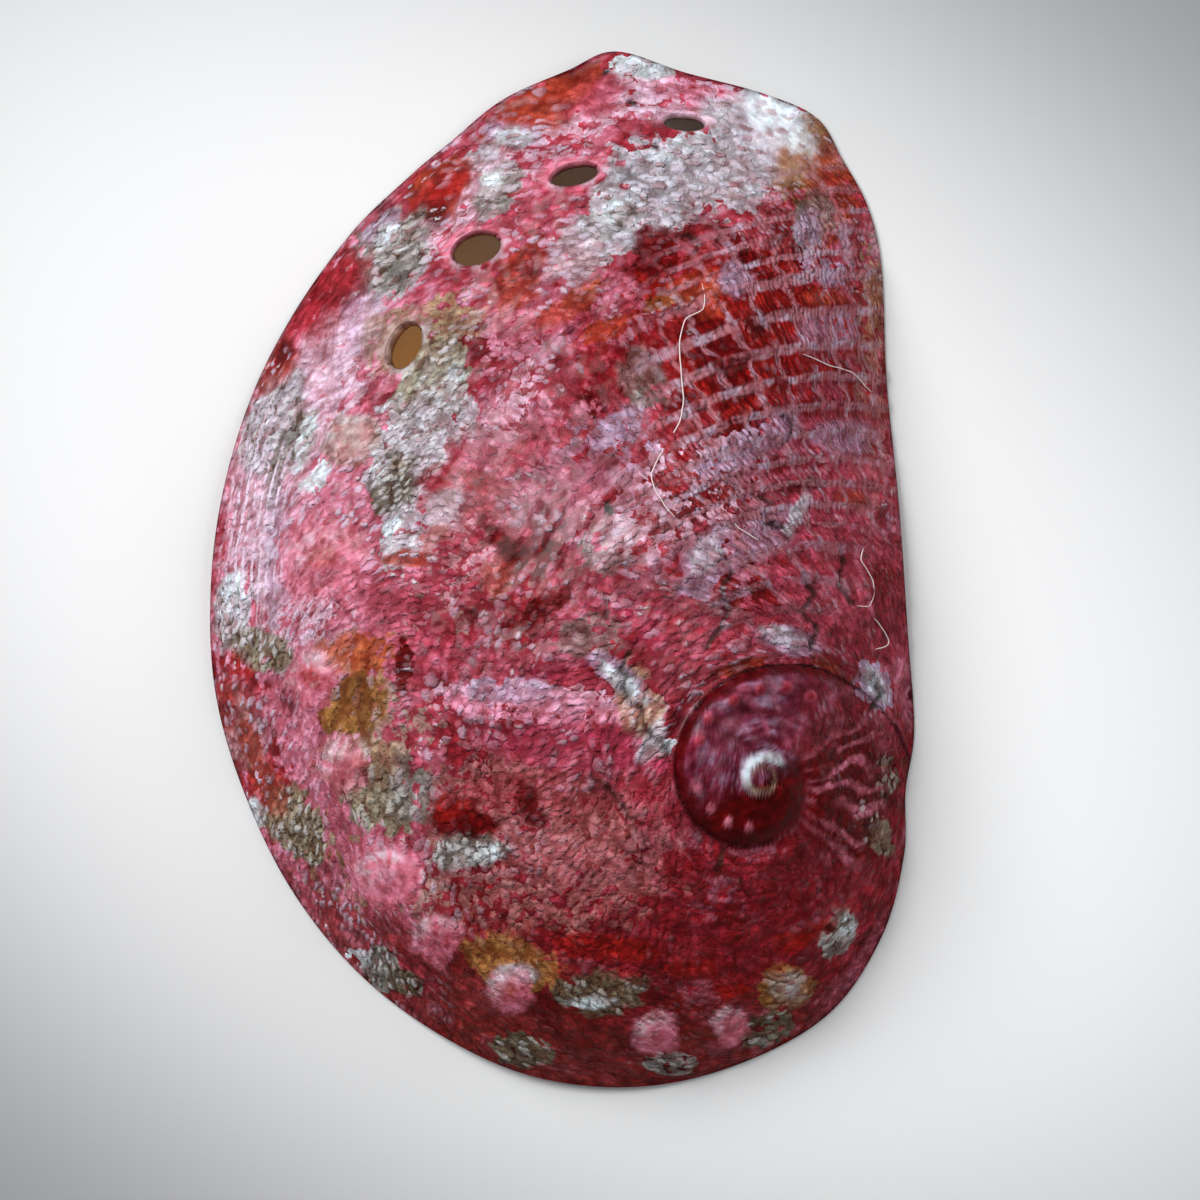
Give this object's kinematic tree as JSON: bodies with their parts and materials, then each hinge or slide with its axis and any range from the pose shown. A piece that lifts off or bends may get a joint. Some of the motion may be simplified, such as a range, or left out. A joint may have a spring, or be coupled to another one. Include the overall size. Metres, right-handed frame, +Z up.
{
  "type": "abalone shell",
  "caption": "Ear-shaped, low-domed sea shell with a small off-centre spire and a row of respiratory holes, open underneath; a natural ornament that rests on its rim.",
  "frame": {"origin": "middle of the shell's box on the surface it rests on, mouth down", "axes": "+Z up through the back of the shell, +Y towards the front lip, +X towards the straight columellar side with the spire"},
  "size_m": [0.0204, 0.03, 0.0078],
  "materials": {
    "shell": "satin"
  },
  "bodies": {
    "root": {"shell": "shell"}
  },
  "joints": []
}
